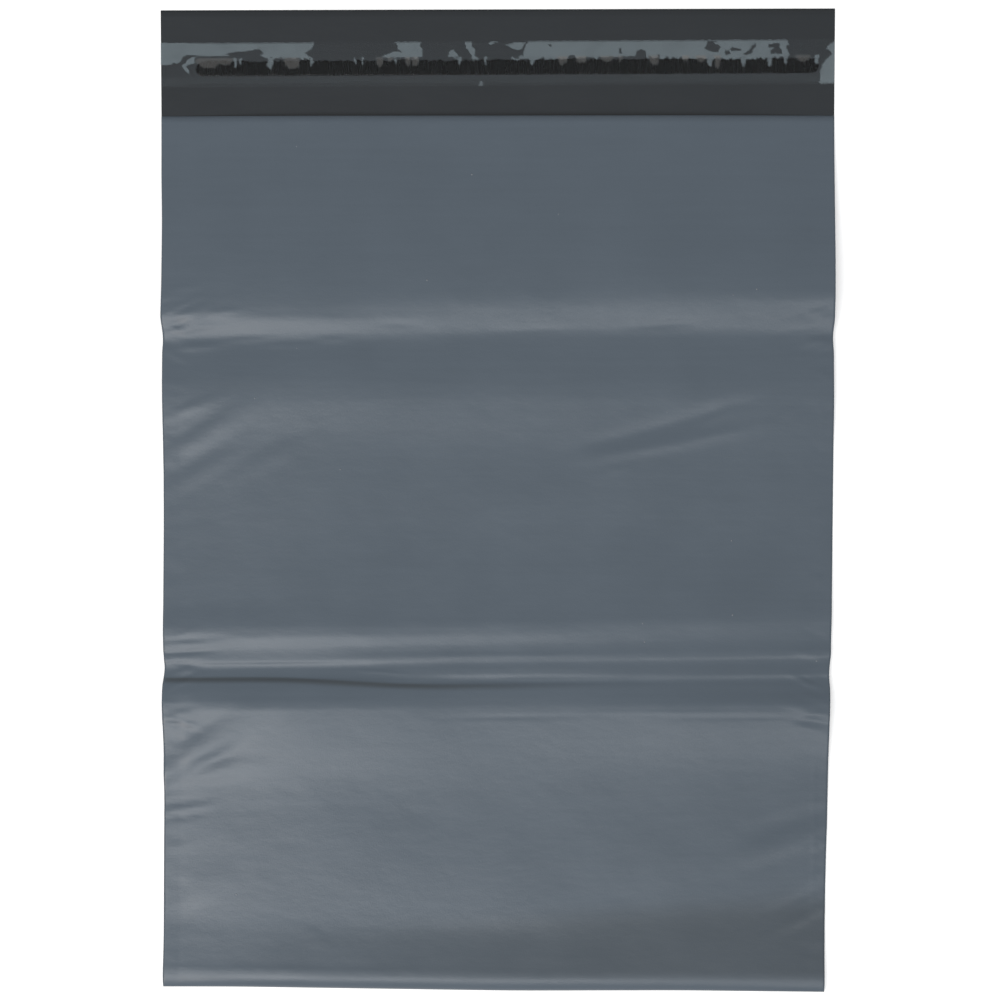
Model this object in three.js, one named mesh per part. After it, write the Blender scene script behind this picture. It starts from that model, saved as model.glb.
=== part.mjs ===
// Poly mailer bag, empty and lying flat on its back, in millimetres.
// X runs across the bag, Y from the bottom fold to the lip, and Z up from the surface it lies on.
// The origin is under the middle of the bag.

import * as THREE from "three";
import { ParametricGeometry } from "three/addons/geometries/ParametricGeometry.js";
import { mergeGeometries, mergeVertices } from "three/addons/utils/BufferGeometryUtils.js";

// Driving dimensions of the film
const bagWidth = 325;
const pocketLength = 425;
const lipLength = 51;
const filmThickness = 0.06;
const weldWidth = 7.5;

// The two creases left by folding the empty bag in three
const lowerCrease = 150;
const upperCreaseFromMouth = 110;
const creasePinch = 0.7;
const creasePinchReach = 9;

// How the slack front panel stands off the back
const foldHeight = 0.7;
const mouthHeight = 6.6;
const shoulderWidth = 75;
const shoulderPower = 2.2;

// Adhesive strip across the lip
const beadWidth = 8.2;
const beadHeight = 0.4;
const beadFromLipEnd = 23.5;
const beadLeftMargin = 16.8;
const beadRightMargin = 6.9;
const scallopDepth = 0.9;
const scallopSpacing = 5.6;

// Release liner over the strip
const linerWidth = 21.5;
const linerThickness = 0.04;
const linerFromLipEnd = 15.2;
const linerRamp = 2.2;
const linerClearance = 0.5;

// Fineness of the film's faces
const widestColumn = 12;
const longestRow = 9.5;

const halfWidth = bagWidth / 2;
const weldLine = halfWidth - weldWidth;
const bagLength = pocketLength + lipLength;
const upperCrease = pocketLength - upperCreaseFromMouth;
const lipTop = filmThickness;

const between = (from, to, share) => from + (to - from) * share;

// Height of the front panel along the bag's middle, as [distance from the fold, height]
const middleLine = [
  [0, foldHeight],
  [between(0, lowerCrease, 0.02), 2.4],
  [between(0, lowerCrease, 0.06), 4.6],
  [between(0, lowerCrease, 0.11), 5.9],
  [between(0, lowerCrease, 0.2), 6.6],
  [between(0, lowerCrease, 0.45), 6.6],
  [between(0, lowerCrease, 0.7), 6.7],
  [lowerCrease - 21, 8],
  [lowerCrease - 11, 8.6],
  [lowerCrease - 5, 8.1],
  [lowerCrease - 1.5, 7.3],
  [lowerCrease + 1.5, 6.2],
  [lowerCrease + 7, 6.5],
  [lowerCrease + 11, 6.2],
  [lowerCrease + 20, 6.4],
  [lowerCrease + 27, 6.9],
  [lowerCrease + 33, 6.9],
  [between(lowerCrease, upperCrease, 0.47), 6.2],
  [between(lowerCrease, upperCrease, 0.64), 6.3],
  [upperCrease - 20, 7.3],
  [upperCrease - 3, 6.8],
  [upperCrease + 5, 6.8],
  [upperCrease + 14, 7.9],
  [upperCrease + 24, 8.9],
  [upperCrease + 36, 8.9],
  [pocketLength, mouthHeight],
];

// Larger wrinkles of the front panel. Each lies at x and at a distance from the crease named in from.
const wrinkles = [
  { x: 88, from: upperCrease, s: -38, length: 118, width: 17, turn: 14, height: 1.3 },
  { x: 84, from: upperCrease, s: -51, length: 96, width: 16, turn: 12, height: -0.9 },
  { x: -142, from: upperCrease, s: -50, length: 60, width: 18, turn: 40, height: 1 },
  { x: -140, from: upperCrease, s: 15, length: 44, width: 20, turn: -24, height: 1 },
  { x: 140, from: upperCrease, s: 15, length: 34, width: 20, turn: 20, height: 0.7 },
  { x: -112, from: lowerCrease, s: 3, length: 90, width: 12, turn: 3, height: 0.9 },
  { x: -138, from: lowerCrease, s: -31, length: 62, width: 17, turn: 41, height: 1.2 },
  { x: -128, from: lowerCrease, s: -48, length: 70, width: 17, turn: 16, height: -0.9 },
  { x: -134, from: lowerCrease, s: -86, length: 44, width: 20, turn: 22, height: 0.9 },
  { x: 138, from: lowerCrease, s: -14, length: 44, width: 17, turn: -18, height: 0.9 },
];

// Rises softly from nothing at -1 and 1 to one in the middle
const bell = (t) => (Math.abs(t) < 1 ? (1 - t * t) ** 2 : 0);

// Smooth line through hand-picked points, which never swings past them
function heightOn(points, s) {
  const last = points.length - 1;
  const i = Math.min(Math.max(points.findLastIndex((point) => point[0] <= s), 0), last - 1);
  const secant = (k) => (points[k + 1][1] - points[k][1]) / (points[k + 1][0] - points[k][0]);
  const slope = (k) => {
    const before = secant(Math.max(k - 1, 0));
    const after = secant(Math.min(k, last - 1));
    return before * after <= 0 ? 0 : (2 * before * after) / (before + after);
  };
  const span = points[i + 1][0] - points[i][0];
  const t = (s - points[i][0]) / span;
  const rise = t * t * (3 - 2 * t);
  return (
    between(points[i][1], points[i + 1][1], rise) +
    span * (t * (1 - t) * (1 - t) * slope(i) - t * t * (1 - t) * slope(i + 1))
  );
}

function wrinkleHeight(wrinkle, x, s) {
  const turn = THREE.MathUtils.degToRad(wrinkle.turn);
  const dx = x - wrinkle.x;
  const ds = s - wrinkle.from - wrinkle.s;
  const along = (dx * Math.cos(turn) + ds * Math.sin(turn)) / (wrinkle.length / 2);
  const across = (ds * Math.cos(turn) - dx * Math.sin(turn)) / (wrinkle.width / 2);
  return wrinkle.height * bell(along) * bell(across);
}

// Wrinkles die out at the welds, the fold and the mouth
function wrinkleFade(fromWeld, s) {
  const fade = (distance, reach) => THREE.MathUtils.smoothstep(distance, 0, reach);
  return fade(fromWeld, 12) * fade(s, 15) * fade(pocketLength - s, 15);
}

// Top of the front panel. It lies on the back at the side welds and stands off it between them.
function frontHeight(x, s) {
  const fromWeld = Math.max(weldLine - Math.abs(x), 0);
  const shoulder = 1 - (1 - Math.min(fromWeld / shoulderWidth, 1)) ** shoulderPower;
  const puff = (heightOn(middleLine, s) - 2 * filmThickness) * shoulder;
  const folds = wrinkles.reduce((sum, wrinkle) => sum + wrinkleHeight(wrinkle, x, s), 0);
  return 2 * filmThickness + puff + folds * wrinkleFade(fromWeld, s);
}

// The sides are drawn in a little at each crease
function drawnIn(x, s) {
  const pinch = (crease) => bell((s - crease) / creasePinchReach);
  return x * (1 - (creasePinch / halfWidth) * (pinch(lowerCrease) + pinch(upperCrease)));
}

// Point of the film at x, a distance s from the fold, and a height
const filmPoint = (x, s, z) => new THREE.Vector3(drawnIn(x, s), s - bagLength / 2, z);

// Stations that keep the given places and are never further apart than the limit
function stations(places, limit) {
  const all = [places[0]];
  for (let i = 1; i < places.length; i++) {
    const count = Math.ceil((places[i] - places[i - 1]) / limit);
    for (let k = 1; k <= count; k++) all.push(between(places[i - 1], places[i], k / count));
  }
  return all;
}

function valueAt(list, share) {
  const place = share * (list.length - 1);
  const i = Math.min(Math.floor(place), list.length - 2);
  return between(list[i], list[i + 1], place - i);
}

// Grid of faces over two lists of stations. It faces the way that u crossed with v points.
function patch(us, vs, pointAt) {
  const fill = (u, v, target) => target.copy(pointAt(valueAt(us, u), valueAt(vs, v)));
  return new ParametricGeometry(fill, us.length - 1, vs.length - 1);
}

// Triangles between a row of points and one point
function fan(row, tip) {
  const corners = row.slice(1).flatMap((point, i) => [tip, row[i], point]);
  return new THREE.BufferGeometry().setFromPoints(corners);
}

// A level face that meets its neighbours' stations on all four sides and has none inside
function levelFace(xs, ss, z, facesUp) {
  const left = ss.map((s) => filmPoint(xs[0], s, z));
  const right = ss.map((s) => filmPoint(xs.at(-1), s, z));
  const low = xs.map((x) => filmPoint(x, ss[0], z));
  const high = xs.map((x) => filmPoint(x, ss.at(-1), z));
  const strip = [];
  for (let i = 1; i < ss.length - 2; i++) {
    strip.push(left[i], right[i], left[i + 1], right[i], right[i + 1], left[i + 1]);
  }
  const faces = [
    new THREE.BufferGeometry().setFromPoints(strip),
    fan(low, left[1]),
    fan([right[1], left[1]], low.at(-1)),
    fan([...high].reverse(), left.at(-2)),
    fan([left.at(-2), right.at(-2)], high.at(-1)),
  ];
  const face = mergeGeometries(faces.map(bare));
  if (!facesUp) face.index.array.reverse();
  return face;
}

// Keeps only the places of the corners, with an index
function bare(geometry) {
  const plain = new THREE.BufferGeometry();
  plain.setAttribute("position", geometry.getAttribute("position"));
  const count = geometry.getAttribute("position").count;
  plain.setIndex(geometry.index ? [...geometry.index.array] : [...Array(count).keys()]);
  return plain;
}

// Joins faces into one closed body and drops the slivers where two of them taper to nothing
function closedBody(faces) {
  const body = mergeVertices(mergeGeometries(faces.map(bare)), 1e-3);
  const index = body.index.array;
  const kept = [];
  for (let i = 0; i < index.length; i += 3) {
    const [a, b, c] = index.slice(i, i + 3);
    if (a !== b && b !== c && c !== a) kept.push(a, b, c);
  }
  body.setIndex(kept);
  body.computeVertexNormals();
  return body;
}

// One piece of film: folded at the bottom, welded up both sides, with the back carried on as the lip
function bagFilmGeometry() {
  const t = filmThickness;
  const front = frontHeight;
  const pocket = stations(middleLine.map(([s]) => s), longestRow);
  const inside = [t, ...pocket.slice(1)];
  const lip = [pocketLength, bagLength];
  const across = stations([-weldLine, 0, weldLine], widestColumn);
  const full = [-halfWidth, ...across, halfWidth];
  const foldLevel = (x, layer) => (layer < 2 ? layer * t : front(x, 0));
  return closedBody([
    levelFace(full, [...pocket, bagLength], 0, false),
    levelFace(across, inside, t, true),
    patch(full, pocket, (x, s) => filmPoint(x, s, front(x, s))),
    patch(inside, across, (s, x) => filmPoint(x, s, front(x, s) - t)),
    patch(full, lip, (x, s) => filmPoint(x, s, t)),
    patch(full, [0, 1, 2], (x, layer) => filmPoint(x, 0, foldLevel(x, layer))),
    patch([0, 1], across, (share, x) => filmPoint(x, t, between(t, front(x, t) - t, share))),
    patch([-t, 0], full, (z, x) => filmPoint(x, pocketLength, front(x, pocketLength) + z)),
    patch([0, t], full, (z, x) => filmPoint(x, bagLength, z)),
    patch([0, t, 2 * t], pocket, (z, s) => filmPoint(-halfWidth, s, z)),
    patch(pocket, [0, t, 2 * t], (s, z) => filmPoint(halfWidth, s, z)),
    patch([0, t], lip, (z, s) => filmPoint(-halfWidth, s, z)),
    patch(lip, [0, t], (s, z) => filmPoint(halfWidth, s, z)),
  ]);
}

// Outline of the strip seen from above, with round ends and a scalloped upper edge
function adhesiveStripGeometry() {
  const left = -halfWidth + beadLeftMargin;
  const right = halfWidth - beadRightMargin;
  const top = bagLength / 2 - beadFromLipEnd;
  const bottom = top - beadWidth;
  const round = beadWidth / 2;
  const outline = new THREE.Shape();
  outline.moveTo(left + round, bottom);
  outline.lineTo(right - round, bottom);
  outline.absarc(right - round, bottom + round, round, -Math.PI / 2, Math.PI / 2);
  const run = right - left - 2 * round;
  const count = Math.max(Math.round(run / scallopSpacing), 1);
  for (let i = 1; i <= count; i++) {
    const from = right - round - (run * (i - 1)) / count;
    const to = right - round - (run * i) / count;
    const depth = scallopDepth * (i % 3 === 0 ? 0.5 : 1);
    outline.quadraticCurveTo((from + to) / 2, top - 2 * depth, to, top);
  }
  outline.absarc(left + round, bottom + round, round, Math.PI / 2, (3 * Math.PI) / 2);
  const solid = new THREE.ExtrudeGeometry(outline, {
    depth: beadHeight,
    bevelEnabled: false,
    curveSegments: 3,
  });
  solid.translate(0, 0, lipTop);
  return closedBody([solid]);
}

// Strip of thin film that lies on the lip on both sides of the adhesive and rides up over it
function releaseLinerGeometry() {
  const top = bagLength / 2 - linerFromLipEnd;
  const beadTop = bagLength / 2 - beadFromLipEnd;
  const crest = [beadTop - beadWidth - linerClearance, beadTop + linerClearance];
  const ends = [-halfWidth + beadLeftMargin - linerClearance, halfWidth - beadRightMargin + linerClearance];
  const ys = [top - linerWidth, crest[0] - linerRamp, ...crest, crest[1] + linerRamp, top];
  const xs = [-halfWidth, ends[0] - linerRamp, ...ends, ends[1] + linerRamp, halfWidth];
  const climb = (place, [low, high]) => Math.min(place - low, high - place) / linerRamp + 1;
  const under = (x, y) => {
    const share = Math.min(climb(x, ends), climb(y, crest));
    return lipTop + beadHeight * THREE.MathUtils.clamp(share, 0, 1);
  };
  const point = (x, y, rise) => new THREE.Vector3(x, y, under(x, y) + rise);
  const t = linerThickness;
  return closedBody([
    patch(xs, ys, (x, y) => point(x, y, t)),
    patch(ys, xs, (y, x) => point(x, y, 0)),
    patch(xs, [0, t], (x, rise) => point(x, ys[0], rise)),
    patch([0, t], xs, (rise, x) => point(x, ys.at(-1), rise)),
    patch([0, t], ys, (rise, y) => point(xs[0], y, rise)),
    patch(ys, [0, t], (y, rise) => point(xs.at(-1), y, rise)),
  ]);
}

const greyFilm = new THREE.MeshStandardMaterial({ color: 0x5b646d, roughness: 0.45, metalness: 0 });
const blackAdhesive = new THREE.MeshStandardMaterial({ color: 0x292c2e, roughness: 0.3, metalness: 0 });
const clearLiner = new THREE.MeshStandardMaterial({
  color: 0x5e6568,
  roughness: 0.25,
  metalness: 0,
  transparent: true,
  opacity: 0.5,
});

function named(name, geometry, material) {
  const mesh = new THREE.Mesh(geometry, material);
  mesh.name = name;
  return mesh;
}

const group = new THREE.Group();
group.add(named("bag_film", bagFilmGeometry(), greyFilm));
group.add(named("adhesive_strip", adhesiveStripGeometry(), blackAdhesive));
group.add(named("release_liner", releaseLinerGeometry(), clearLiner));

export default group;
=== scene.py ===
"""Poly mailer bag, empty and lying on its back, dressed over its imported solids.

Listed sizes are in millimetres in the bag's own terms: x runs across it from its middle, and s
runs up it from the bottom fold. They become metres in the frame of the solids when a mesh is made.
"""
import math
from dataclasses import dataclass

import bpy
import numpy as np
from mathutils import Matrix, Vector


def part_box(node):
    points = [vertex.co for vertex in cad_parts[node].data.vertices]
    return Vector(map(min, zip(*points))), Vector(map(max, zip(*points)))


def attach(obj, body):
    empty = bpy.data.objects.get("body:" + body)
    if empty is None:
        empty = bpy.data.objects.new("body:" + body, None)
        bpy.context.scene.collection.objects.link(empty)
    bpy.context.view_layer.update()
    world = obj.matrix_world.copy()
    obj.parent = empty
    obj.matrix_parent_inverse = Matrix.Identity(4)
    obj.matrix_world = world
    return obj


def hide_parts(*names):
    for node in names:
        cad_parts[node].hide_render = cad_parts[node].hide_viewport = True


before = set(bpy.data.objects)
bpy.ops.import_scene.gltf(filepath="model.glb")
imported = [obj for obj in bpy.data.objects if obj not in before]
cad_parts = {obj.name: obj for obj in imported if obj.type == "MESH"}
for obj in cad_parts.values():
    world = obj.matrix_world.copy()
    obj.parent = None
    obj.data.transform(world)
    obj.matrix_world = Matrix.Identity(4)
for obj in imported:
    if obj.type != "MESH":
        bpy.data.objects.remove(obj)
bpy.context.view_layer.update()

MM = 0.001

# Sizes that the solids give
FILM_LOW, FILM_HIGH = (np.array(corner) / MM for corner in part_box("bag_film"))
BEAD_LOW, BEAD_HIGH = (np.array(corner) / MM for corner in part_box("adhesive_strip"))
LINER_LOW, LINER_HIGH = (np.array(corner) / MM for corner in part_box("release_liner"))
HALF_WIDTH = FILM_HIGH[0]
FOLD_Y = FILM_LOW[1]
BAG_LENGTH = FILM_HIGH[1] - FILM_LOW[1]

# The film, and the side welds, where front and back stay a little apart so that neither cuts the other
FILM = 0.06
POCKET_LENGTH = 425
WELD_LINE = HALF_WIDTH - 7.5
WELD_GAP = 0.22
WELD_BLEND = 16
SEAM_HEIGHT = 0.02
SEAM_EXTRA_RIGHT = 0.06
SEAM_REACH = 2.2

# How the front rises from the welds, how much of its edges' height the back takes on, and how both
# roll over at the bottom fold
SHOULDER = 75
SHOULDER_POWER = 1.8
BACK_LIFT = 0.3
ROLL = 7
ROLL_MIDDLE = 0.28
ROLL_BACK = 2
ROLL_STEPS = 12

# The creases of the bag's three-way fold, which climb a little to the right and draw the sides in
LOWER_CREASE = 150.5
UPPER_CREASE = 315
CREASE_CLIMB = 0.0135
CREASE_SPREAD = 0.0004
CREASE_PINCH = 0.6
CREASE_PINCH_REACH = 9

# Unevenness all over the film, as (height, seed, longest wave, shortest wave)
SWELLS = (0.1, 3, 90, 35)
DIMPLES = (0.03, 4, 34, 12)

# Share of the wrinkles' height that stays at the welds, and how softly the front stops above the back
EDGE_CALM = 0.75
FLOOR_EASE = 0.04

# How deep the painted shade in the film's colour gets, from 0 to 1, and how far the groove's painted shade
# reaches up and down from it
GROOVE_PAINTED_SHADE = 0.04
GROOVE_PAINTED_SHADE_EXTRA_LEFT = 0.78
GROOVE_UP = 1.4
GROOVE_DOWN = 2.8
# Painted shade just above the bottom fold, and fainter painted shade over the lower right
FOLD_PAINTED_SHADE = 0.42
RIGHT_PAINTED_SHADE = 0.06

# How far apart the film's points lie, as (where a zone ends, spacing): from the middle to a side, from the
# mouth down the front, and from the bottom fold up the back
ACROSS_ZONES = [(100, 3.5), (148, 2.0), (HALF_WIDTH, 1.1)]
FRONT_ZONES = [
    (345, 3.4), (296, 1.3), (246, 1.5), (178, 2.0), (166, 1.2), (146, 0.7), (128, 1.0), (60, 1.8),
    (12, 2.0), (ROLL, 1.25),
]
BACK_ZONES = [(10, 2), (130, 6), (160, 3), (300, 6), (340, 3.5), (POCKET_LENGTH, 7), (BAG_LENGTH, 3.4)]

# Height of the front along lines up the bag, as (s, left edge, left, middle, right, right edge). The left
# and right lines run LINE_PLACE from the middle
PANEL_LINES = [
    (7, 3.4, 5.8, 5.3, 4.7, 2.9),
    (9, 3.35, 5.7, 5.15, 4.6, 2.8),
    (12, 2.9, 5.15, 4.7, 4.3, 2.5),
    (16, 2.45, 4.62, 4.15, 3.9, 2.1),
    (20, 2.0, 4.12, 3.6, 3.5, 1.75),
    (25, 1.55, 3.6, 3.02, 3.05, 1.35),
    (29, 1.2, 3.28, 2.72, 2.7, 1.05),
    (32, 1.0, 3.12, 2.68, 2.45, 0.85),
    (36, 0.88, 3.02, 2.72, 2.22, 0.65),
    (40, 0.85, 3.0, 2.72, 2.1, 0.55),
    (48, 0.85, 2.98, 2.66, 2.0, 0.5),
    (60, 0.85, 2.88, 2.45, 1.9, 0.5),
    (72, 0.9, 2.75, 2.2, 1.82, 0.5),
    (87, 0.95, 2.75, 1.97, 1.82, 0.55),
    (96, 1.1, 2.95, 2.0, 1.95, 0.65),
    (105, 1.6, 3.45, 2.25, 2.25, 0.9),
    (112, 2.15, 4.2, 2.6, 2.8, 1.45),
    (120, 2.9, 5.2, 3.1, 3.75, 2.7),
    (129, 3.75, 6.15, 3.65, 5.0, 4.25),
    (136, 4.7, 6.75, 4.05, 5.75, 5.2),
    (139, 5.2, 6.95, 4.15, 5.9, 5.35),
    (142, 5.3, 6.75, 4.0, 5.5, 4.9),
    (145, 4.95, 6.15, 3.75, 4.8, 3.95),
    (148.9, 4.3, 5.3, 3.2, 3.95, 3.0),
    (150.6, 3.9, 4.8, 2.4, 3.55, 2.55),
    (151.6, 3.65, 4.5, 2.15, 3.48, 2.42),
    (152.6, 3.3, 4.0, 2.15, 3.56, 2.55),
    (153.6, 2.85, 3.4, 2.28, 3.62, 2.68),
    (155, 2.5, 2.95, 2.45, 3.52, 2.5),
    (157, 2.1, 2.55, 2.4, 3.3, 2.2),
    (158.8, 1.95, 2.3, 2.25, 3.08, 1.92),
    (160.3, 2.05, 2.42, 2.17, 3.02, 1.88),
    (162.2, 2.55, 2.95, 2.3, 3.22, 2.2),
    (163.6, 2.65, 3.05, 2.42, 3.22, 2.25),
    (166.6, 2.7, 3.2, 2.22, 3.05, 1.9),
    (169, 2.85, 3.4, 2.25, 2.95, 1.75),
    (172, 3.25, 4.0, 2.55, 3.05, 1.8),
    (175, 3.45, 4.5, 2.85, 3.25, 1.95),
    (179, 3.5, 4.6, 2.95, 3.5, 2.15),
    (183, 3.1, 4.3, 2.6, 3.25, 2.0),
    (192, 1.9, 3.5, 1.95, 2.45, 1.4),
    (204, 1.2, 2.8, 1.2, 1.35, 0.9),
    (216, 0.7, 2.2, 0.5, 0.55, 0.4),
    (228, 0.4, 1.9, 0.2, 0.2, 0.15),
    (243, 0.3, 1.9, 0.3, 0.2, 0.15),
    (255, 0.4, 1.95, 0.35, 0.4, 0.25),
    (261, 0.6, 2.05, 0.5, 0.6, 0.35),
    (267, 0.95, 2.3, 0.8, 0.9, 0.6),
    (273, 1.4, 2.75, 1.3, 1.3, 0.95),
    (279, 2.0, 3.4, 1.9, 1.75, 1.4),
    (285, 2.6, 4.1, 2.5, 2.3, 1.85),
    (290, 2.9, 4.5, 2.95, 2.8, 2.3),
    (296, 3.0, 4.6, 3.15, 3.05, 2.5),
    (306, 2.4, 4.05, 2.95, 2.9, 2.3),
    (312, 2.0, 3.55, 2.75, 2.75, 2.15),
    (316, 1.85, 3.35, 2.65, 2.65, 2.1),
    (319, 2.2, 3.7, 2.7, 2.65, 2.15),
    (322, 2.95, 4.4, 3.1, 3.0, 2.65),
    (325, 3.8, 5.25, 3.7, 3.75, 3.45),
    (328, 4.5, 5.85, 4.35, 4.55, 4.3),
    (331, 4.9, 6.1, 4.95, 5.35, 5.2),
    (334, 5.1, 6.3, 5.5, 6.05, 6.05),
    (337, 5.1, 6.4, 5.85, 6.65, 6.85),
    (341, 5.0, 6.4, 6.05, 7.15, 7.3),
    (348, 4.8, 6.3, 6.05, 7.4, 7.2),
    (380, 2.6, 4.5, 4.4, 5.3, 4.0),
    (410, 0.6, 2.7, 2.6, 2.9, 1.0),
    (425, 0.1, 2.2, 2.2, 2.2, 0.1),
]
LINE_PLACE = 108

# How far the side edges lie from straight, as (s, left, right), and the bottom fold, as (x, how far below)
SIDE_DRIFT = [
    (0, -0.25, -0.7), (20, 0, -0.8), (45, 0.1, -0.7), (70, 0.3, -0.4), (90, 0.5, 0), (115, 0.6, 0.15),
    (140, 0.2, 0.4), (165, 0.6, 0.8), (190, 0.55, 1.1), (250, 0.7, 1.25), (280, 0.55, 1.25),
    (310, 0.55, 0.9), (325, 0.2, 0.95), (345, 0.75, 0.8), (370, 0.9, 0.6), (400, 0.4, 0.3),
    (425, 0.3, 0.1), (476, 0.1, 0),
]
BOTTOM_SAG = [(-163, 1.4), (-115, 0.85), (-20, 1.1), (2, 1.15), (61, 0.5), (100, 0.1), (163, 0.2)]

# The release liner and the adhesive under it; d runs down from the liner's upper edge
LINER = 0.04
LINER_RISE = 8
LINER_FALL = 4
LINER_COLUMNS = 601
LINER_ROWS = 42
LAID_SHIFT = 0.25
LAID_TURN = 0.0035

# The liner shows a little more below the adhesive, from the first d on and fully from the second
LOWER_BAND = (16.4, 16.9)

# The adhesive: its upper edge, as d, how far its edges lie inside the solid's, how long its round ends
# are, and how close its points lie
BEAD_EDGE = 8.3
BEAD_INSET_UP = 0.75
BEAD_INSET_DOWN = 0.25
BEAD_ROUND_LEFT = 4
BEAD_ROUND_RIGHT = 3
BEAD_STEP = 0.55
BEAD_ROWS = 17

# Where air lies under the liner, as corners (x, d)
AIR_POCKETS = [
    [(-163, 0), (-87.5, 0), (-88.5, 2.5), (-92.5, 5.5), (-89.5, 7), (-90.5, 8), (-110.5, 7.5), (-114, 7),
     (-112.5, 5.5), (-114, 3.5), (-116.5, 3.5), (-118.5, 4), (-128.5, 5), (-132, 6), (-129, 6.5),
     (-145.5, 6.5), (-146, 6), (-150, 6), (-154, 10), (-157.5, 10.5), (-163, 11)],
    [(-145.5, 6.5), (-149, 7.5), (-150, 9.5), (-152, 11.5), (-151, 13.5), (-149, 15), (-148.5, 13.5),
     (-150, 11.5), (-148.5, 10.5), (-145.5, 10)],
    [(-49, 0), (-36, 0), (-36, 3.5), (-35.5, 7), (-36, 8), (-56, 7.5), (-52, 6), (-49.5, 5), (-47, 4.5),
     (-45, 6)],
    [(-23.5, 8), (-22.5, 5.5), (-20.5, 4), (-19.5, 5), (-18, 8)],
    [(-15.5, 0), (-12, 0), (-10.5, 4.5), (-9.5, 9), (-11, 9), (-13, 5)],
    [(-8.5, 21.5), (-7, 19), (-5.5, 21.5)],
    [(-4, 0.5), (-1.5, 0), (1, 0.5), (-1.5, 1.5), (-3, 1.5)],
    [(4.5, 2), (9, 1), (14.5, 1), (13, 3.5), (10.5, 4.5), (7.5, 3.5)],
    [(16, 0), (139.5, 0), (141, 3), (139, 3), (141, 8), (122.5, 9.5), (80.5, 8.5), (78.5, 9), (79, 6.5),
     (77, 8.5), (72.5, 8.5), (72, 5.5), (70, 4.5), (67.5, 5.5), (67, 8), (38.5, 8.5), (38, 7.5), (36, 7),
     (35, 8.5), (16.5, 8.5), (7.5, 9), (8, 8), (13.5, 7.5), (13, 5), (14.5, 3)],
    [(163, 1), (160, 2.5), (159, 4.5), (161, 7), (156.5, 12.5), (155.5, 15), (155.5, 21.5), (163, 21.5)],
]

# Where the liner clings again inside those, as corners (x, d)
WET_ISLANDS = [
    [(102, 1), (106, 0.5), (104, 2), (108, 3), (107, 6), (104.5, 6), (100, 4.5)],
    [(112.5, 5), (114, 3.5), (117.5, 4.5), (117.5, 5.5), (114.5, 5.5)],
    [(109.5, 6.5), (110.5, 5), (112.5, 5.5), (112.5, 7), (110.5, 7.5)],
    [(125, 2), (122, 3.5), (121.5, 5), (119.5, 6.5), (118.5, 7), (121, 7.5), (123.5, 6.5), (123, 5),
     (125, 3)],
    [(130, 2.5), (134, 2.5), (134, 4), (130, 4)],
    [(133, 2), (135.5, 1.5), (137.5, 5.5), (137, 7), (132, 7), (132, 5), (134.5, 4)],
    [(25.3, 2), (26.8, 2.2), (26.5, 3), (25.5, 3)],
    [(59.5, 4), (60.4, 4), (60.6, 6.5), (59.6, 6.5)],
]

# Gaps that hang over the adhesive's upper edge, as (x, width, depth, whether pale)
BEAD_TABS = [
    (-139, 12, 4.2, False), (-131, 8, 2.6, False), (-126, 1.5, 4, True), (-123.5, 1, 3, True),
    (-109, 3, 5, True), (-98.5, 7.5, 5, False), (-89, 1, 3.5, True), (-68, 1, 2.5, True),
    (-64.5, 1, 3.5, True), (-56, 3.5, 4, False), (-51, 3, 1.5, False), (-48.5, 0.8, 3.5, True),
    (-42.5, 2.5, 4, False), (-39, 4, 3.5, False), (-17.5, 2, 3, True), (-9.5, 1, 1.5, True),
    (-5, 1, 3.5, True), (17.5, 2.5, 3.5, True), (32, 4.5, 3.5, False), (41, 5, 3, False),
    (53.5, 6.5, 2, False), (60, 2, 2, False), (76, 5, 3.5, False), (91.5, 4, 2, False),
    (98.5, 5, 2.5, False), (103, 3, 5, True), (106.5, 3, 6, False), (119, 2.5, 4.5, True),
    (131.5, 2.5, 4.5, True), (139, 1.5, 4, True), (147.5, 7, 2.5, False), (154, 2.5, 3.5, True),
]

# Colours
GREY = (0.066, 0.0885, 0.1135, 1)
# The colour that the painted shade in the grey film's groove and above its bottom fold darkens towards
GREY_PAINTED_SHADE = (0.03, 0.038, 0.044, 1)
# Gel specks, painted pale partly as painted highlights
GREY_SPECK_AND_GLINT = (0.2, 0.22, 0.24, 1)
BLACK = (0.0095, 0.0135, 0.0175, 1)
BLACK_SPECK = (0.03, 0.03, 0.03, 1)
BEAD_BLACK = (0.0004, 0.0004, 0.0005, 1)
BEAD_SMEAR = (0.003, 0.0033, 0.0036, 1)
AIR_TINT = (0.27, 0.335, 0.37, 1)
TAB_TINT = (0.27, 0.27, 0.265, 1)
FLOOR_WHITE = (0.86, 0.86, 0.86, 1)

# The camera, in metres and degrees, and the light around it
CAMERA_LENS = 81.56
CAMERA_PLACE = (0.0403, 0.0536, 1.1)
CAMERA_TURN = (-2.7, 1.97, 0.17)
SURROUND_STRENGTH = 0.66

# Lights in metres, as (name, place, target, size, watts, colour)
LIGHTS = [
    ("softbox", (-0.7, -1.15, 2.3), (0, -0.1, 0), (1.8, 0.8), 24.6, (0.95, 0.975, 1)),
    ("fill", (0.9, -1.6, 2.2), (0, 0, 0), (0.9, 0.9), 7, (1, 1, 1)),
    ("warm_glow", (-1.3, -1.3, 1.6), (-0.1, 0, 0), (0.5, 0.5), 13, (1, 0.83, 0.7)),
]


@dataclass
class Wrinkle:
    """A ridge between two places (x, s), or a furrow where its height is negative."""

    start: tuple
    end: tuple
    width: float
    height: float
    bend: float = 0
    sharp: bool = False


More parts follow.
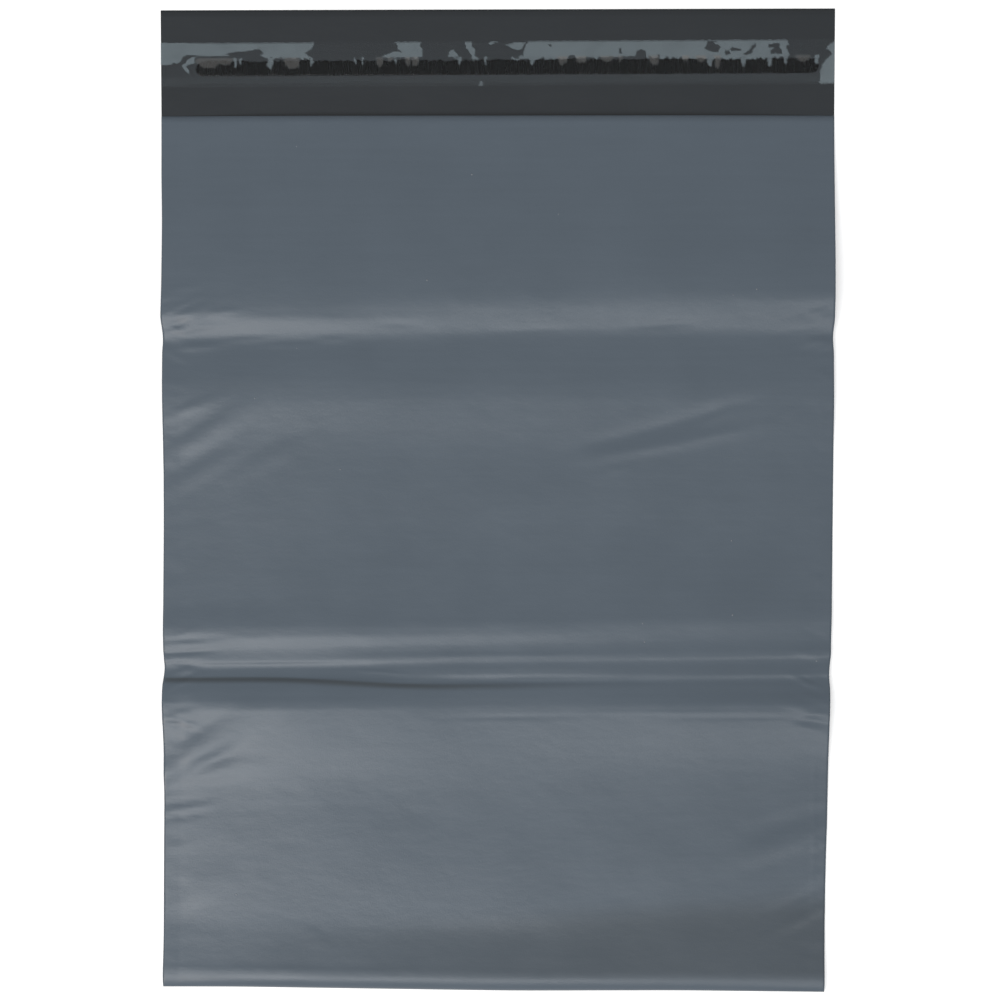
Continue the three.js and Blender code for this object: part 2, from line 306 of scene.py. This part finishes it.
# Wrinkles that the photograph shows one by one
WRINKLES = [
    # The long pair on the right, with a dark strip between them
    Wrinkle((20, 261), (150, 297), 14, -0.8, 2, sharp=True),
    Wrinkle((26, 257), (146, 281), 12, 0.7, 1.5, sharp=True),
    Wrinkle((96, 276), (120, 287), 7, 0.3),
    Wrinkle((45, 247), (68, 257), 6, 0.3, -2, sharp=True),
    Wrinkle((136, 279), (148, 288), 6, 0.25, sharp=True),
    # The fan from the left edge over the upper crease
    Wrinkle((-172, 326), (-134, 334), 8, 0.5, 1),
    Wrinkle((-172, 319), (-128, 328), 7, 0.5, 2, sharp=True),
    Wrinkle((-172, 322), (-140, 337), 6, -0.2),
    Wrinkle((-170, 312), (-120, 317), 7, 0.45, 1, sharp=True),
    Wrinkle((-158, 321), (-140, 329), 9, 0.4),
    Wrinkle((-174, 323), (-136, 341), 4, 0.35, sharp=True),
    Wrinkle((-176, 316), (-130, 332), 4, 0.3, 1, sharp=True),
    Wrinkle((-174, 330), (-150, 338), 4, -0.35, sharp=True),
    Wrinkle((-146, 329), (-118, 332), 5, 0.3, sharp=True),
    Wrinkle((-136, 316), (-100, 318), 4, 0.3, sharp=True),
    # Short wrinkles along the upper crease
    Wrinkle((-146, 325), (-126, 326), 5, -0.25, sharp=True),
    Wrinkle((-60, 324.5), (-36, 325), 4.5, -0.3, sharp=True),
    Wrinkle((-92, 315), (-68, 317), 5, 0.3, -1, sharp=True),
    Wrinkle((-130, 315), (-78, 314), 4, 0.2, sharp=True),
    Wrinkle((58, 323), (104, 327), 7, -0.45, sharp=True),
    Wrinkle((-20, 321), (60, 323), 5, -0.15),
    # Thin lines along the lower crease
    Wrinkle((-20, 151.8), (90, 153), 3, 0.14, sharp=True),
    Wrinkle((-72, 156), (-40, 154), 3, 0.2, -0.5, sharp=True),
    Wrinkle((-84, 150.5), (-36, 151.5), 3, 0.25, 1, sharp=True),
    Wrinkle((-46, 133), (60, 135), 3.5, -0.16, sharp=True),
    Wrinkle((20, 136.5), (168, 138), 3, 0.16, sharp=True),
    Wrinkle((70, 134), (166, 135.5), 4, -0.22, sharp=True),
    Wrinkle((-182, 157.5), (-138, 160.5), 3.5, -0.35, sharp=True),
    Wrinkle((-184, 162.5), (-128, 166), 5, -0.4, sharp=True),
    Wrinkle((-186, 168.5), (-126, 172.5), 5, -0.5, sharp=True),
    # Soft diagonals from the left edge under the upper crease
    Wrinkle((-176, 252), (-112, 291), 15, 0.75, 2),
    Wrinkle((-172, 274), (-128, 292), 8, 0.35),
    Wrinkle((-174, 236), (-112, 270), 13, 0.4),
    Wrinkle((-140, 246), (-82, 272), 14, 0.3),
    # The crumpled corner under the lower crease
    Wrinkle((-206, 79), (-108, 142), 19, 1.4, 2),
    Wrinkle((-188, 107), (-128, 136), 9, -0.15),
    Wrinkle((-186, 89), (-108, 127), 11, -0.4, 1),
    Wrinkle((-190, 98), (-96, 112), 14, 0.5),
    Wrinkle((-182, 126), (-140, 137), 8, 0.5),
    Wrinkle((-182, 85.5), (-134, 94), 6, -0.4, sharp=True),
    Wrinkle((-178, 79), (-130, 88), 5.5, -0.35, sharp=True),
    Wrinkle((-180, 81), (-128, 91), 6, 0.25),
    Wrinkle((-172, 56), (-124, 71), 17, -0.2),
    Wrinkle((-154, 40), (-126, 60), 18, 0.3),
    Wrinkle((-170, 34), (-132, 48), 12, 0.15),
    # Thin scratches
    Wrinkle((-126, 101), (-66, 81), 3.5, 0.07, -1.5, sharp=True),
    Wrinkle((-96, 33), (-78, 18), 3.5, 0.22, sharp=True),
    # Crumples at the right edge
    Wrinkle((134, 145), (176, 131), 9, 0.35),
    Wrinkle((140, 138), (176, 128), 7, -0.3, sharp=True),
    Wrinkle((138, 133), (174, 120), 8, 0.3),
    Wrinkle((130, 323), (176, 330), 8, 0.3),
    Wrinkle((146, 318), (176, 314), 7, 0.5, sharp=True),
    Wrinkle((104, 60), (180, 84), 16, 0.5),
    Wrinkle((112, 74), (180, 96), 12, -0.3),
    Wrinkle((128, 24), (180, 50), 9, 0.5),
    Wrinkle((150, 76), (168, 84), 4, 0.4, sharp=True),
    Wrinkle((149, 67), (168, 76), 3.5, 0.4, sharp=True),
    Wrinkle((151, 53), (168, 63), 4, 0.4, sharp=True),
    Wrinkle((152, 44), (168, 51), 3.5, 0.35, sharp=True),
    Wrinkle((154, 20), (168, 29), 4, 0.3, sharp=True),
    Wrinkle((128, 35), (180, 60), 8, -0.35),
]


def bell(t):
    """Rises softly from nothing at -1 and 1 to one in the middle."""
    return np.where(np.abs(t) < 1, (1 - t * t) ** 2, 0)


def tent(t):
    """Like bell, with a sharp crest."""
    return np.maximum(1 - np.abs(t), 0) ** 1.6


def ramp(value, low, high):
    """Goes smoothly from 0 at low to 1 at high."""
    t = np.clip((value - low) / (high - low), 0, 1)
    return t * t * (3 - 2 * t)


def line_through(points, at):
    """Smooth line through given points, which never swings past them."""
    xs, ys = np.array(points, float).T
    secants = np.diff(ys) / np.diff(xs)
    before = np.concatenate([secants[:1], secants])
    after = np.concatenate([secants, secants[-1:]])
    product = before * after
    slopes = np.where(product > 0, 2 * product / np.where(product > 0, before + after, 1), 0)
    i = np.clip(np.searchsorted(xs, at, side="right") - 1, 0, len(xs) - 2)
    span = xs[i + 1] - xs[i]
    t = np.clip((at - xs[i]) / span, 0, 1)
    rise = t * t * (3 - 2 * t)
    turn = span * t * (1 - t) * ((1 - t) * slopes[i] - t * slopes[i + 1])
    return ys[i] + (ys[i + 1] - ys[i]) * rise + turn


def ripple(x, s, seed, longest, shortest, count=24):
    """Gentle unevenness, mostly between -1 and 1, made of waves that run every way."""
    random = np.random.default_rng(seed)
    total = np.zeros(np.broadcast(x, s).shape)
    for _ in range(count):
        wave = 2 * math.pi / random.uniform(shortest, longest)
        way, phase = random.uniform(0, 2 * math.pi, 2)
        total += np.sin(wave * (x * math.cos(way) + s * math.sin(way)) + phase)
    return total / math.sqrt(count) / 1.5


def wrinkle_height(wrinkle, x, s):
    """Height that one wrinkle adds: full at its middle, nothing past its ends and its width."""
    (x1, s1), (x2, s2) = wrinkle.start, wrinkle.end
    half = math.hypot(x2 - x1, s2 - s1) / 2
    run, rise = (x2 - x1) / half / 2, (s2 - s1) / half / 2
    dx = x - (x1 + x2) / 2
    ds = s - (s1 + s2) / 2
    along = (dx * run + ds * rise) / half
    off = ds * run - dx * rise + wrinkle.bend * (1 - along * along)
    across = off / (wrinkle.width / 2)
    shape = tent(across) if wrinkle.sharp else bell(across)
    return wrinkle.height * bell(along) * shape


def edge_puckers():
    """Small wrinkles that run in from both side welds, most of them near the creases."""
    random = np.random.default_rng(31)
    lowest, highest = 14, POCKET_LENGTH - 10
    puckers = []
    for side in (-1, 1):
        s = lowest
        while s < highest:
            near = max(bell((s - LOWER_CREASE + 6) / 40), bell((s - UPPER_CREASE - 8) / 30))
            length = random.uniform(8, 20) + 10 * near
            height = random.uniform(0.05, 0.15) * (1 + 1.5 * near) * random.choice([-1, 1])
            turn = random.uniform(-0.5, 0.5)
            start = (side * (HALF_WIDTH + 2), s)
            end = (side * (HALF_WIDTH + 2 - length), s + turn * length)
            width = random.uniform(4, 8)
            sharp = random.random() < 0.5
            puckers.append(Wrinkle(start, end, width, height, sharp=sharp))
            s += random.uniform(3, 8) - 2 * near
    return puckers


def crease_level(x, s):
    """Distance up the bag with the climb to the right taken out. The upper crease has none."""
    climb = (CREASE_CLIMB + CREASE_SPREAD * np.clip(s - LOWER_CREASE, 0, 20)) * ramp(s, 30, 120)
    return s - x * climb * ramp(UPPER_CREASE - s, 0, 100)


def groove_painted_shade(x, s):
    """How much painted shade darkens the film along the lower crease's groove."""
    past = crease_level(x, s) - LOWER_CREASE + 1.3 - 4.2 * ramp(-x, 20, 120)
    reach = np.where(past > 0, GROOVE_UP, GROOVE_DOWN)
    depth = GROOVE_PAINTED_SHADE + GROOVE_PAINTED_SHADE_EXTRA_LEFT * ramp(-x, -60, 60)
    return bell(past / reach) * depth * ramp(HALF_WIDTH - np.abs(x), -1, 2)


def fold_painted_shade(x, s):
    """Painted shade: a deeper tone of the film just above the bottom fold, and more faintly over its lower
    right.
    """
    low = ramp(0.07 * x - s, -42, -27) * ramp(s, 3, 10)
    lower_right_painted_shade = RIGHT_PAINTED_SHADE * ramp(x, 20, 140) * ramp(-s, -280, -180)
    return FOLD_PAINTED_SHADE * low * ramp(x, -200, 80) + lower_right_painted_shade


def wrinkles_at(x, s):
    """Height of all wrinkles together, which die away at the bottom fold and the mouth."""
    total = np.zeros(np.broadcast(x, s).shape)
    for wrinkle in WRINKLES + edge_puckers():
        total += wrinkle_height(wrinkle, x, s)
    total += sum(height * ripple(x, s, *waves) for height, *waves in (SWELLS, DIMPLES))
    return total * ramp(s, 2, 14) * ramp(POCKET_LENGTH - s, 0, 12)


def panel_height(x, s):
    """Height of the front without its wrinkles: lines up the bag, blended softly across it."""
    table = np.array(PANEL_LINES)
    level = crease_level(x, s)
    far_left, left, middle, right, far_right = (line_through(table[:, [0, k]], level) for k in range(1, 6))
    share = np.sin(np.clip(x / LINE_PLACE, -1, 1) * math.pi / 2) ** 2
    panel = middle + (np.where(x < 0, left, right) - middle) * share
    edge = np.where(x < 0, far_left, far_right)
    from_weld = np.maximum(WELD_LINE - np.abs(x), 0)
    shoulder = 1 - (1 - np.minimum(from_weld / SHOULDER, 1)) ** SHOULDER_POWER
    return edge + (panel - edge) * shoulder


def arch(share):
    """Quarter of a circle, from 0 at 0 to level at 1."""
    return np.sqrt(np.maximum(1 - (1 - np.clip(share, 0, 1)) ** 2, 0))


def front_height(x, s):
    """Height of the middle of the front film's thickness."""
    calm = EDGE_CALM + (1 - EDGE_CALM) * ramp(WELD_LINE - np.abs(x), 0, 8)
    height = panel_height(x, np.maximum(s, ROLL)) + wrinkles_at(x, s) * calm
    lifted = (height + np.sqrt(height ** 2 + FLOOR_EASE)) / 2
    rolled = lifted * (ROLL_MIDDLE + (1 - ROLL_MIDDLE) * arch(s / ROLL))
    line = SEAM_HEIGHT + SEAM_EXTRA_RIGHT * (x > 0) * ramp(s, 40, 60) * ramp(-s, -130, -110)
    from_line = np.abs(x) - WELD_LINE - 1 - 0.8 * ripple(s, 0, 41, 60, 20)
    seam = line * bell(from_line / SEAM_REACH)
    return 1.5 * FILM + rolled + seam * ramp(POCKET_LENGTH - s, -1, 4)


def back_height(x, s):
    """Height of the middle of the back film's thickness, which follows the front along the side welds."""
    inner = np.clip(s, ROLL, POCKET_LENGTH)
    left, right = (panel_height(side * WELD_LINE + 0 * x, inner) for side in (-1, 1))
    edge = left + (right - left) * (x / WELD_LINE + 1) / 2
    welded = ramp(np.abs(x), WELD_LINE - WELD_BLEND, WELD_LINE - 1)
    level = 0.5 * FILM + edge * BACK_LIFT * ramp(s, 0, 40)
    rolled = level + (front_height(x, 0 * s) - level) * (1 - arch(s / ROLL_BACK))
    under_front = front_height(x, s) - (1.5 * FILM + WELD_GAP) * ramp(s, 0, 1.5)
    with_front = np.where(s < POCKET_LENGTH, under_front, 0.5 * FILM)
    return rolled * (1 - welded) + np.maximum(with_front, 0.5 * FILM) * welded


def film_places(x, s, z):
    """Points of the film. The sides are drawn in a little at each crease, and no edge is quite straight."""
    pinch = sum(bell((s - crease) / CREASE_PINCH_REACH) for crease in (LOWER_CREASE + 6, UPPER_CREASE + 4))
    drift = np.array(SIDE_DRIFT)
    left, right = (line_through(drift[:, [0, k]], s) for k in (1, 2))
    across = x * (1 - CREASE_PINCH / HALF_WIDTH * pinch) + left + (right - left) * (x / HALF_WIDTH + 1) / 2
    below = line_through(BOTTOM_SAG, x) * ramp(-s, -60, 0)
    return np.stack([across, s + FOLD_Y - below, z], 2)


def spaced(start, zones):
    """Stations from start through zones of (end, spacing)."""
    stations = [start]
    for end, spacing in zones:
        count = max(round(abs(end - stations[-1]) / spacing), 1)
        stations.extend(np.linspace(stations[-1], end, count + 1)[1:])
    return np.array(stations)


def across_normals(points):
    """Unit normals of a grid of points, on the side that rows crossed with columns point to."""
    down = np.gradient(points, axis=0)
    along = np.gradient(points, axis=1)
    normals = np.cross(down, along)
    return normals / np.linalg.norm(normals, axis=2, keepdims=True)


def closed_mesh(name, outer, inner, inner_slot):
    """Closed body between two grids of points. The rim's walls are flat and go with the outer face."""
    rows, columns = outer.shape[:2]
    far = rows * columns
    ids = np.arange(far).reshape(rows, columns)
    a, b, c, d = (part.ravel() for part in (ids[:-1, :-1], ids[1:, :-1], ids[1:, 1:], ids[:-1, 1:]))
    near_side = np.stack([a, b, c, d], 1)
    far_side = np.stack([a, d, c, b], 1) + far
    rim = np.concatenate([ids[0], ids[1:, -1], ids[-1, -2::-1], ids[-2:0:-1, 0]])
    after = np.roll(rim, -1)
    walls = np.stack([rim, after, after + far, rim + far], 1)
    faces = np.concatenate([near_side, far_side, walls])
    mesh = bpy.data.meshes.new(name)
    points = np.concatenate([outer.reshape(-1, 3), inner.reshape(-1, 3)]) * MM
    mesh.from_pydata(points.tolist(), [], faces.tolist())
    count = len(near_side)
    smooth = np.arange(len(faces)) < 2 * count
    mesh.polygons.foreach_set("use_smooth", smooth)
    slots = np.zeros(len(faces), int)
    slots[count:2 * count] = inner_slot
    mesh.polygons.foreach_set("material_index", slots)
    mesh.update()
    piece = bpy.data.objects.new(name, mesh)
    bpy.context.scene.collection.objects.link(piece)
    return piece


def sheet_mesh(name, middle, thickness, inner_slot=0):
    """Closed sheet around a grid of middle points."""
    lift = across_normals(middle) * thickness / 2
    return closed_mesh(name, middle + lift, middle - lift, inner_slot)


def film_piece():
    """The whole film as one sheet: down the front, round the bottom fold and up the back to the lip."""
    half = spaced(0, ACROSS_ZONES)
    across = np.concatenate([-half[:0:-1], half])
    turns = np.linspace(0, math.pi / 2, ROLL_STEPS + 1)[1:]
    front = np.concatenate([spaced(POCKET_LENGTH, FRONT_ZONES), ROLL * (1 - np.sin(turns))])
    back = np.concatenate([ROLL_BACK * (1 - np.sin(turns[-3::-2])), spaced(ROLL_BACK, BACK_ZONES)])
    grids = []
    for stations, height in ((front, front_height), (back, back_height)):
        x, s = np.meshgrid(across, stations)
        grids.append(film_places(x, s, height(x, s)))
    middle = np.concatenate(grids)
    piece = sheet_mesh("mailer_film", middle, FILM, inner_slot=1)
    x, s = np.meshgrid(across, front)
    # Painted shade from the groove and above the bottom fold, kept in the crease attribute
    painted_shade = np.zeros(middle.shape[:2])
    painted_shade[:len(front)] = np.maximum(groove_painted_shade(x, s), fold_painted_shade(x, s))
    layer = piece.data.attributes.new("crease", "FLOAT", "POINT")
    layer.data.foreach_set("value", np.concatenate([painted_shade.ravel(), np.zeros(painted_shade.size)]))
    return piece


def inside(shape, x, d):
    """Which points lie inside a closed shape of (x, d) corners."""
    found = np.zeros(x.shape, bool)
    ends = np.array(shape, float)
    for (x1, d1), (x2, d2) in zip(ends, np.roll(ends, -1, axis=0)):
        if d1 != d2:
            found ^= ((d1 > d) != (d2 > d)) & (x < (x2 - x1) * (d - d1) / (d2 - d1) + x1)
    return found


def as_laid(points):
    """Points of the strip or its liner, turned a little across the lip."""
    shift = LAID_SHIFT + LAID_TURN * points[..., 0]
    return np.stack([points[..., 0], points[..., 1] + shift, points[..., 2]], -1)


def bead_piece():
    """The strip of adhesive, with a ragged upper edge and round ends."""
    low, high = BEAD_LOW, BEAD_HIGH
    across = np.arange(low[0] + 0.3, high[0] - 0.2, BEAD_STEP)
    ragged = 0.55 * ripple(across, 0, 11, 9, 2.2) + 0.35 * ripple(across, 0, 12, 2.4, 1.1)
    lower = low[1] + BEAD_INSET_DOWN + 0.18 * ripple(across, 0, 13, 14, 2)
    upper = high[1] - BEAD_INSET_UP + np.clip(ragged, -0.7, 0.7)
    past_left = (across[0] + BEAD_ROUND_LEFT - across) / BEAD_ROUND_LEFT
    past_right = (across - across[-1] + BEAD_ROUND_RIGHT) / BEAD_ROUND_RIGHT
    round_off = np.sqrt(np.clip(1 - past_left.clip(0) ** 2, 0.02, 1))
    round_off *= np.sqrt(np.clip(1 - past_right.clip(0) ** 2, 0.02, 1))
    centre = (lower + upper) / 2
    steps = np.linspace(-1, 1, BEAD_ROWS)[:, None]
    y = centre + steps * (upper - lower) / 2 * round_off
    x = np.broadcast_to(across, y.shape)
    crown = (1 - steps ** 4) * round_off
    top = low[2] + 0.05 + (high[2] - low[2] - 0.07) * crown * (0.86 + 0.14 * ripple(x, y, 14, 7, 1.5))
    surface = np.stack([x, y, top], 2)
    base = np.stack([x, y, np.full(y.shape, low[2] + 0.01)], 2)
    return closed_mesh("adhesive_bead", as_laid(surface[::-1]), as_laid(base[::-1]), 0)


def liner_height(y):
    """Height of the liner's middle. It slants up from its upper edge to the bead, and drops past it."""
    slant = np.clip((BEAD_HIGH[1] + LINER_RISE - y) / LINER_RISE, 0, 1)
    rise = slant * ramp(y, BEAD_LOW[1] - LINER_FALL, BEAD_LOW[1])
    return LINER_LOW[2] + LINER / 2 + (LINER_HIGH[2] - LINER_LOW[2] - LINER) * rise


def liner_piece():
    """The clear release liner, with the air that shows as pale pockets under it."""
    low, high = LINER_LOW, LINER_HIGH
    across = np.linspace(low[0], high[0], LINER_COLUMNS)
    x, y = np.meshgrid(across, np.linspace(high[1], low[1], LINER_ROWS))
    surface = np.stack([x, y, liner_height(y)], 2)
    piece = sheet_mesh("liner_film", as_laid(surface), LINER)
    d = high[1] - y
    edge_x = x + 0.45 * ripple(x, d, 21, 6, 1.5)
    teeth = 0.8 * ripple(x, 0 * d, 23, 5, 1.6) * bell((d - BEAD_EDGE) / 2.5)
    edge_d = d + 0.3 * ripple(x, d, 22, 6, 1.5) + teeth
    air = np.zeros(x.shape)
    for shape in AIR_POCKETS:
        air[inside(shape, edge_x, edge_d)] = 1
    for shape in WET_ISLANDS:
        air[inside(shape, edge_x, edge_d)] = 0
    tab = np.zeros(x.shape)
    for place, width, depth, pale in BEAD_TABS:
        hang = BEAD_EDGE + depth * np.sqrt(np.clip(1 - ((edge_x - place) / (width / 2)) ** 2, 0, 1))
        within = (d > BEAD_EDGE - 0.8) & (edge_d < hang) & (np.abs(edge_x - place) < width / 2)
        (air if pale else tab)[within] = 0.9
    for name, values in (("air", air), ("tab", tab), ("low", ramp(d, *LOWER_BAND))):
        layer = piece.data.attributes.new(name, "FLOAT", "POINT")
        layer.data.foreach_set("value", np.tile(values.ravel(), 2))
    return piece


class Nodes:
    """Short ways to add the nodes that the materials share."""

    def __init__(self, tree):
        self.tree = tree
        self.place = tree.nodes.new("ShaderNodeTexCoord").outputs["Object"]

    def link(self, source, socket):
        self.tree.links.new(source, socket)

    def put(self, value, socket):
        """Links another node's output to a socket, or sets the socket to a plain value."""
        if hasattr(value, "links"):
            self.link(value, socket)
        else:
            socket.default_value = value

    def attribute(self, name):
        node = self.tree.nodes.new("ShaderNodeAttribute")
        node.attribute_name = name
        return node.outputs["Fac"]

    def noise(self, per_metre, detail=2, stretch=(1, 1, 1)):
        mapping = self.tree.nodes.new("ShaderNodeMapping")
        mapping.inputs["Scale"].default_value = stretch
        self.link(self.place, mapping.inputs["Vector"])
        node = self.tree.nodes.new("ShaderNodeTexNoise")
        node.inputs["Scale"].default_value = per_metre
        node.inputs["Detail"].default_value = detail
        self.link(mapping.outputs["Vector"], node.inputs["Vector"])
        return node.outputs["Fac"]

    def specks(self, per_metre, size):
        """Sparse dots: about one cell in six of a fine cell pattern has one."""
        cells = self.tree.nodes.new("ShaderNodeTexVoronoi")
        cells.inputs["Scale"].default_value = per_metre
        self.link(self.place, cells.inputs["Vector"])
        near = self.span(cells.outputs["Distance"], size, size * 0.4, 0, 1)
        parts = self.tree.nodes.new("ShaderNodeSeparateColor")
        self.link(cells.outputs["Color"], parts.inputs["Color"])
        chosen = self.span(parts.outputs["Red"], 0.83, 0.88, 0, 1)
        return self.maths("MULTIPLY", near, chosen)

    def maths(self, operation, first, second):
        node = self.tree.nodes.new("ShaderNodeMath")
        node.operation = operation
        self.put(first, node.inputs[0])
        self.put(second, node.inputs[1])
        return node.outputs[0]

    def span(self, value, low, high, to_low, to_high):
        """Maps low to high onto to_low to to_high, and holds at both ends."""
        node = self.tree.nodes.new("ShaderNodeMapRange")
        for socket, number in zip(node.inputs[1:5], (low, high, to_low, to_high)):
            socket.default_value = number
        self.link(value, node.inputs["Value"])
        return node.outputs["Result"]

    def mix(self, share, first, second):
        node = self.tree.nodes.new("ShaderNodeMix")
        node.data_type = "RGBA"
        self.put(share, node.inputs["Factor"])
        self.put(first, node.inputs["A"])
        self.put(second, node.inputs["B"])
        return node.outputs["Result"]

    def bump(self, height, distance, strength=1, under=None):
        node = self.tree.nodes.new("ShaderNodeBump")
        node.inputs["Strength"].default_value = strength
        node.inputs["Distance"].default_value = distance
        self.link(height, node.inputs["Height"])
        if under:
            self.link(under, node.inputs["Normal"])
        return node.outputs["Normal"]


def material(name):
    """New material, with its node helper and its shader."""
    made = bpy.data.materials.new(name)
    made.use_nodes = True
    return made, Nodes(made.node_tree), made.node_tree.nodes["Principled BSDF"]


def film_material(name, colour, painted_shade, pale):
    """Semi-matt blown film: faint lines along it, cloudy thickness, fine grain, painted shade where the
    crease attribute darkens it, and a few gel specks painted pale partly as painted highlights.
    """
    made, nodes, shader = material(name)
    clouds = nodes.span(nodes.noise(28, 3), 0.3, 0.7, 0, 1)
    lines = nodes.span(nodes.noise(420, 2, (0.03, 1, 1)), 0.3, 0.7, 0, 1)
    tone = nodes.maths("ADD", nodes.maths("MULTIPLY", clouds, 0.6), nodes.maths("MULTIPLY", lines, 0.4))
    deep, light = ([c * share for c in colour[:3]] + [1] for share in (0.96, 1.04))
    worn = nodes.mix(tone, deep, light)
    # The crease attribute mixes painted shade into the film's colour
    with_painted_shade = nodes.mix(nodes.attribute("crease"), worn, painted_shade)
    # Gel specks, whose pale colour is partly a painted highlight on their tiny bumps
    specks = nodes.specks(95, 0.045)
    nodes.link(nodes.mix(specks, with_painted_shade, pale), shader.inputs["Base Color"])
    nodes.link(nodes.span(clouds, 0, 1, 0.33, 0.39), shader.inputs["Roughness"])
    grain = nodes.bump(nodes.noise(1500, 2), 0.00004)
    wave = nodes.bump(nodes.noise(160, 3, (0.5, 1, 1)), 0.00014, under=grain)
    nodes.link(nodes.bump(specks, 0.00025, under=wave), shader.inputs["Normal"])
    return made


def bead_material():
    """Glossy black hot-melt, smeared upwards as it was laid."""
    made, nodes, shader = material("adhesive_black")
    smear = nodes.noise(700, 2, (1, 0.12, 1))
    nodes.link(nodes.mix(smear, BEAD_BLACK, BEAD_SMEAR), shader.inputs["Base Color"])
    nodes.link(nodes.span(smear, 0.3, 0.7, 0.16, 0.34), shader.inputs["Roughness"])
    shader.inputs["Specular IOR Level"].default_value = 0.2
    ripples = nodes.bump(nodes.noise(900, 2, (1, 0.2, 1)), 0.0001, 0.6)
    nodes.link(ripples, shader.inputs["Normal"])
    return made


def liner_material():
    """Clear film: nearly unseen where it clings, milky where air lies under it."""
    made, nodes, shader = material("liner_clear")
    air, tab, low = (nodes.attribute(name) for name in ("air", "tab", "low"))
    cloud = nodes.span(nodes.noise(120, 3), 0.3, 0.7, 0.85, 1.12)
    milky = nodes.maths("MULTIPLY", air, cloud)
    seen = nodes.maths("ADD", nodes.span(milky, 0, 1, 0.008, 0.235), nodes.span(tab, 0, 1, 0, 0.1))
    nodes.link(nodes.maths("ADD", seen, nodes.span(low, 0, 1, 0, 0.012)), shader.inputs["Alpha"])
    nodes.link(nodes.mix(tab, AIR_TINT, TAB_TINT), shader.inputs["Base Color"])
    nodes.link(nodes.span(cloud, 0.85, 1.12, 0.2, 0.3), shader.inputs["Roughness"])
    nodes.link(nodes.bump(nodes.noise(420, 3), 0.00006), shader.inputs["Normal"])
    return made


def add_camera():
    """Camera nearly straight above the bag."""
    data = bpy.data.cameras.new("camera")
    data.lens = CAMERA_LENS
    data.sensor_width = 36
    camera = bpy.data.objects.new("camera", data)
    camera.location = CAMERA_PLACE
    camera.rotation_euler = [math.radians(angle) for angle in CAMERA_TURN]
    bpy.context.scene.collection.objects.link(camera)
    bpy.context.scene.camera = camera


def area_light(name, place, target, size, power, colour):
    """Rectangular light at a place, turned to its target."""
    data = bpy.data.lights.new(name, "AREA")
    data.shape = "RECTANGLE"
    data.size, data.size_y = size
    data.energy = power
    data.color = colour
    lamp = bpy.data.objects.new(name, data)
    lamp.location = place
    away = np.array(place) - np.array(target)
    length = np.linalg.norm(away)
    lamp.rotation_euler = (math.acos(away[2] / length), 0, math.atan2(away[0], -away[1]))
    bpy.context.scene.collection.objects.link(lamp)


def floor_piece():
    """Broad floor under the bag. It glows a little to the camera, so that it reads as pure white."""
    mesh = bpy.data.meshes.new("floor")
    reach, level = 3.0, -0.0003
    corners = [(-reach, -reach), (reach, -reach), (reach, reach), (-reach, reach)]
    mesh.from_pydata([(x, y, level) for x, y in corners], [], [(0, 1, 2, 3)])
    piece = bpy.data.objects.new("floor", mesh)
    bpy.context.scene.collection.objects.link(piece)
    made, nodes, shader = material("floor_white")
    shader.inputs["Base Color"].default_value = FLOOR_WHITE
    shader.inputs["Roughness"].default_value = 0.9
    path = nodes.tree.nodes.new("ShaderNodeLightPath")
    shader.inputs["Emission Color"].default_value = (1, 1, 1, 1)
    glow = nodes.maths("MULTIPLY", path.outputs["Is Camera Ray"], 0.3)
    nodes.link(glow, shader.inputs["Emission Strength"])
    mesh.materials.append(made)
    return piece


def light_world(strength):
    """White surroundings, which light the bag with less strength than the camera sees."""
    world = bpy.data.worlds.new("studio")
    bpy.context.scene.world = world
    world.use_nodes = True
    tree = world.node_tree
    sky = tree.nodes["Background"]
    path = tree.nodes.new("ShaderNodeLightPath")
    shown = tree.nodes.new("ShaderNodeMath")
    shown.operation = "MAXIMUM"
    tree.links.new(path.outputs["Is Camera Ray"], shown.inputs[0])
    tree.links.new(path.outputs["Is Transmission Ray"], shown.inputs[1])
    level = tree.nodes.new("ShaderNodeMapRange")
    tree.links.new(shown.outputs[0], level.inputs["Value"])
    level.inputs["To Min"].default_value = strength
    level.inputs["To Max"].default_value = 1
    sky.inputs["Color"].default_value = (1, 1, 1, 1)
    tree.links.new(level.outputs["Result"], sky.inputs["Strength"])


bpy.context.scene.view_settings.view_transform = "Standard"
add_camera()

film = film_piece()
film.data.materials.append(film_material("film_grey", GREY, GREY_PAINTED_SHADE, GREY_SPECK_AND_GLINT))
film.data.materials.append(film_material("film_black", BLACK, BLACK, BLACK_SPECK))
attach(film, "root")
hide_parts("bag_film")

bead = bead_piece()
bead.data.materials.append(bead_material())
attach(bead, "root")
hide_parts("adhesive_strip")

liner = liner_piece()
liner.data.materials.append(liner_material())
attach(liner, "root")
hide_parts("release_liner")

floor_piece()
light_world(SURROUND_STRENGTH)
for light in LIGHTS:
    area_light(*light)
